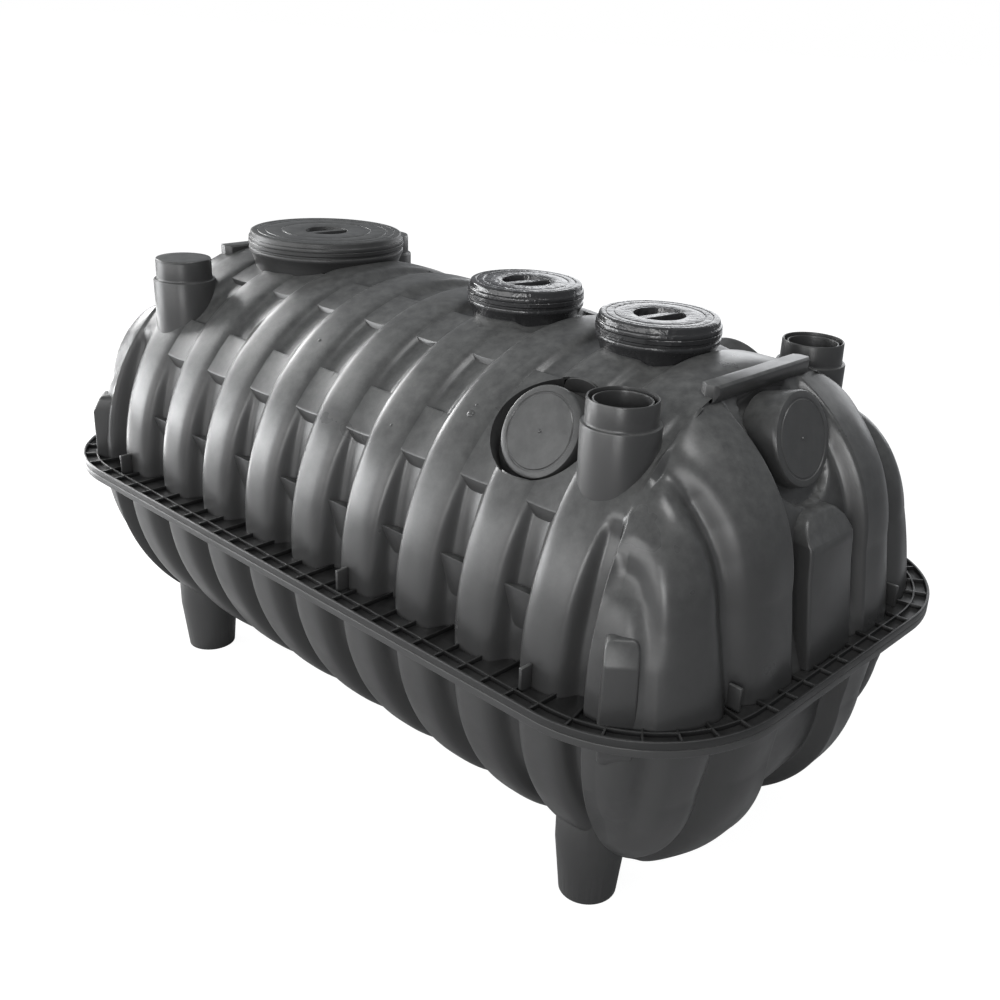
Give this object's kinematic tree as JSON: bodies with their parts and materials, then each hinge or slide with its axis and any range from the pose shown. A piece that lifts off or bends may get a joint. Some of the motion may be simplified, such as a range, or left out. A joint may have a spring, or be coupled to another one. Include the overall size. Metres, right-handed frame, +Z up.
{
  "type": "septic tank",
  "caption": "Ribbed black plastic septic tank: two half shells joined at a mid flange, manhole lids on top, upright pipe sockets at the corners, stub feet below.",
  "frame": {"origin": "middle of the base, on the ground under the feet", "axes": "+X along the tank towards the end with the open pipe sockets, +Z up"},
  "size_m": [2.3, 1.242, 1.236],
  "materials": {
    "upper_shell": "satin moulded polypropylene",
    "lower_shell": "satin moulded polypropylene",
    "upper_flange": "satin moulded polypropylene",
    "sockets": "satin moulded polypropylene",
    "large_lid": "satin moulded polypropylene",
    "wrapped_lids": "lid under thin stretch film"
  },
  "bodies": {
    "root": {"upper_barrel": "upper_shell", "upper_end_near": "upper_shell", "upper_end_far": "upper_shell", "upper_flange_left": "upper_flange", "upper_flange_right": "upper_flange", "upper_flange_near": "upper_flange", "upper_flange_far": "upper_flange", "upper_flange_grid": "upper_flange", "lower_barrel": "lower_shell", "lower_end_near": "lower_shell", "lower_end_far": "lower_shell", "lower_flange_left": "lower_shell", "lower_flange_right": "lower_shell", "lower_flange_near": "lower_shell", "lower_flange_far": "lower_shell", "neck_large": "large_lid", "neck_middle": "wrapped_lids", "neck_near": "wrapped_lids", "lid_large": "large_lid", "lid_middle": "wrapped_lids", "lid_near": "wrapped_lids", "socket_near_left": "sockets", "socket_near_right": "sockets", "socket_far_left": "sockets", "socket_far_right": "sockets", "socket_caps": "sockets", "side_boss_left": "upper_shell", "side_boss_right": "upper_shell", "end_boss_near": "upper_shell", "end_boss_far": "upper_shell", "lift_bar_near": "upper_shell", "lift_bar_far": "upper_shell", "low_valley_wedges": "upper_shell", "side_valley_blocks": "upper_shell", "top_valley_blocks": "upper_shell", "flange_lugs": "upper_shell", "feet": "lower_shell"}
  },
  "joints": []
}
